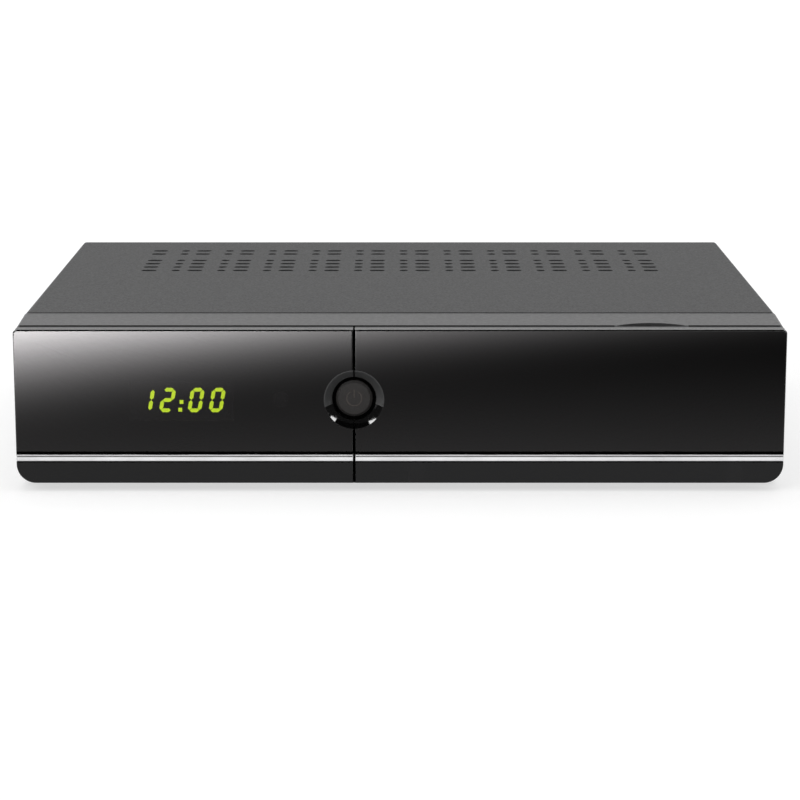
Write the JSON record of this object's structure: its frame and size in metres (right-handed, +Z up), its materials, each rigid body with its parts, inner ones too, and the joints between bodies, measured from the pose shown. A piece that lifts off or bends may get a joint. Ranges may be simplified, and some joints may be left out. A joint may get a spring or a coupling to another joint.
{
  "type": "satellite tv receiver",
  "caption": "Set-top satellite receiver: slotted steel case, smoked front with lit clock, round power button in a dished ring, and a drop-down door over keys, card slot and USB.",
  "frame": {"origin": "under the middle of the receiver, on the surface that the feet stand on", "axes": "+X to the right seen from the front, +Y from the front to the rear, +Z up; the front faces -Y"},
  "size_m": [0.2826, 0.2203, 0.0615],
  "materials": {
    "cover_paint": "fine textured powder coat",
    "zinc_steel": "zinc plated sheet",
    "smoked_plate": "polished, dark smoked",
    "black_moulding": "moulded, fine grain",
    "bezel_plastic": "satin",
    "bright_strip": "bright plated",
    "ring_gloss": "gloss black",
    "button_plastic": "matte",
    "display_case": "matte black",
    "lit_resin": "lit",
    "dark_resin": "unlit",
    "sensor_resin": "dark red resin",
    "foot_rubber": "matte",
    "board_laminate": "solder mask",
    "chip_epoxy": "moulded epoxy",
    "sink_aluminium": "extruded",
    "tinned_steel": "tinned",
    "nickel": "nickel plated",
    "socket_plastic": "moulded",
    "connector_white": "moulded",
    "collar_yellow": "moulded",
    "collar_white": "moulded",
    "collar_red": "moulded",
    "can_sleeve": "shrunk sleeve",
    "winding_tape": "tape over windings",
    "choke_ferrite": "ferrite",
    "fuse_glass": "clear",
    "screw_steel": "black zinc",
    "lead_cover": "soft sleeve",
    "ribbon_cover": "soft sleeve",
    "insulator": "film",
    "pin_steel": "ground",
    "rocker_plastic": "moulded",
    "switch_case": "moulded"
  },
  "bodies": {
    "receiver": {"top_cover": "cover_paint", "case_screws": "screw_steel", "chassis_tray": "zinc_steel", "rear_panel": "zinc_steel", "feet": "foot_rubber", "front_bezel": "bezel_plastic", "fascia_carrier": "black_moulding", "fascia_plate": "smoked_plate", "fascia_trim": "bright_strip", "ring_left": "ring_gloss", "display_module": "display_case", "lit_segments": "lit_resin", "unlit_segments": "dark_resin", "front_board": "board_laminate", "infrared_receiver": "sensor_resin", "push_switches": "switch_case", "key_board": "board_laminate", "usb_socket": "tinned_steel", "card_reader": "switch_case", "main_board": "board_laminate", "processor_heat_sink": "sink_aluminium", "board_chips": "chip_epoxy", "capacitors": "can_sleeve", "tuner_can": "tinned_steel", "aerial_sockets": "nickel", "hdmi_socket": "tinned_steel", "scart_socket": "socket_plastic", "optical_socket": "socket_plastic", "service_socket": "tinned_steel", "phono_housing": "socket_plastic", "phono_collar_yellow": "collar_yellow", "phono_collar_white": "collar_white", "phono_collar_red": "collar_red", "phono_sleeves": "nickel", "mains_inlet": "socket_plastic", "inlet_pins": "nickel", "rocker_frame": "socket_plastic", "power_board": "board_laminate", "transformer": "winding_tape", "power_heat_sink": "sink_aluminium", "line_choke": "choke_ferrite", "fuse": "fuse_glass", "power_leads": "lead_cover", "front_leads": "ribbon_cover", "insulation_sheet": "insulator", "standoffs": "pin_steel", "board_screws": "screw_steel", "lead_headers": "connector_white", "door_catch": "black_moulding"},
    "door": {"door_shell": "black_moulding", "door_plate": "smoked_plate", "door_trim": "bright_strip", "ring_right": "ring_gloss", "hinge_pins": "pin_steel"},
    "power_button": {"power_button": "button_plastic"},
    "key_menu": {"key_menu": "button_plastic"},
    "key_confirm": {"key_confirm": "button_plastic"},
    "key_down": {"key_down": "button_plastic"},
    "key_up": {"key_up": "button_plastic"},
    "rocker": {"rocker": "rocker_plastic"}
  },
  "joints": [
    {"name": "door_hinge", "type": "hinge", "parent": "receiver", "child": "door", "pos_m": [0, -0.1048, 0.008], "axis": [1, 0, 0], "range_deg": [0, 90]},
    {"name": "power_press", "type": "slide", "parent": "receiver", "child": "power_button", "axis": [0, 1, 0], "range_m": [0, 0.0006], "stiffness_N_per_m": 800},
    {"name": "menu_press", "type": "slide", "parent": "receiver", "child": "key_menu", "axis": [0, 1, 0], "range_m": [0, 0.0005], "stiffness_N_per_m": 800},
    {"name": "confirm_press", "type": "slide", "parent": "receiver", "child": "key_confirm", "axis": [0, 1, 0], "range_m": [0, 0.0005], "stiffness_N_per_m": 800},
    {"name": "down_press", "type": "slide", "parent": "receiver", "child": "key_down", "axis": [0, 1, 0], "range_m": [0, 0.0005], "stiffness_N_per_m": 800},
    {"name": "up_press", "type": "slide", "parent": "receiver", "child": "key_up", "axis": [0, 1, 0], "range_m": [0, 0.0005], "stiffness_N_per_m": 800},
    {"name": "rocker_turn", "type": "hinge", "parent": "receiver", "child": "rocker", "pos_m": [-0.084, 0.0988, 0.024], "axis": [0, 0, 1], "range_deg": [0, 18]}
  ]
}
